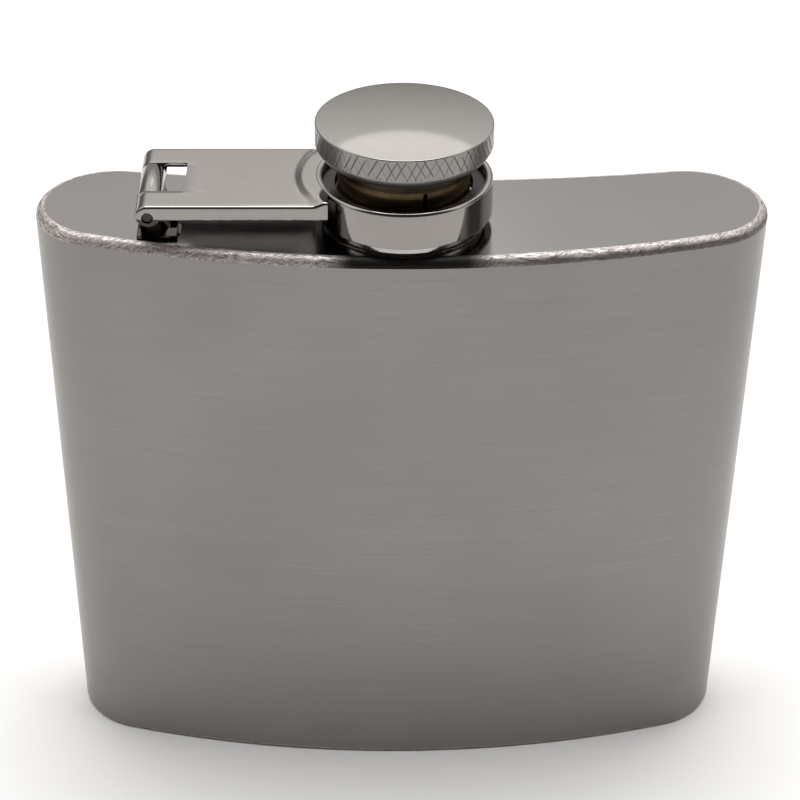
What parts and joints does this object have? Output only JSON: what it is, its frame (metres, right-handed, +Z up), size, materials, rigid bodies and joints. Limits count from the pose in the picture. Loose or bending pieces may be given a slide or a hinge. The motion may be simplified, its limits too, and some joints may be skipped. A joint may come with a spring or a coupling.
{
  "type": "hip flask",
  "caption": "Curved steel pocket flask with a hinged retainer arm and a captive screw cap, shown unscrewed.",
  "frame": {"origin": "centre of the base face, on the neck axis and at half the thickness of the flask's middle", "axes": "+Z up along the neck axis; X across the width, with the arm's hinge towards -X; the convex front faces -Y"},
  "size_m": [0.095, 0.0255, 0.094],
  "materials": {
    "brushed_wall": "fine level brushing, satin",
    "polished_plate": "semi-mirror polish",
    "ground_seam": "coarse ground weld",
    "polished_arm": "bright polish, rubbed edges",
    "cap_steel": "satin top, cross-cut rim",
    "neck_steel": "turned, semi-bright",
    "pin_steel": "dark cut steel",
    "sleeve_brass": "turned, darkened",
    "seal": "matt food-grade silicone"
  },
  "bodies": {
    "flask": {"body_wall": "brushed_wall", "top_plate": "polished_plate", "base_plate": "polished_plate", "top_seam": "ground_seam", "base_seam": "ground_seam", "neck": "neck_steel", "neck_thread": "neck_steel", "neck_bead": "ground_seam", "hinge_bracket": "polished_arm", "bracket_beads": "ground_seam", "hinge_pin": "pin_steel"},
    "arm": {"retainer_arm": "polished_arm", "inner_ring": "pin_steel"},
    "cap_lifter": {"snap_ring": "pin_steel"},
    "cap": {"cap_head": "cap_steel", "threaded_sleeve": "sleeve_brass", "sleeve_thread": "sleeve_brass", "sealing_disc": "seal"}
  },
  "joints": [
    {"name": "arm_hinge", "type": "hinge", "parent": "flask", "child": "arm", "pos_m": [-0.032, 0, 0.0843], "axis": [0, -1, 0], "range_deg": [0, 180]},
    {"name": "cap_lift", "type": "slide", "parent": "arm", "child": "cap_lifter", "axis": [0, 0, 1], "range_m": [-0.00315, 0]},
    {"name": "cap_spin", "type": "hinge", "parent": "cap_lifter", "child": "cap", "pos_m": [0, 0, 0.09], "axis": [0, 0, 1], "range_deg": [-648, 0]}
  ],
  "couplings": [
    {"joint": "cap_lift", "follows": "cap_spin", "m_per_rad": 0.0002785}
  ]
}
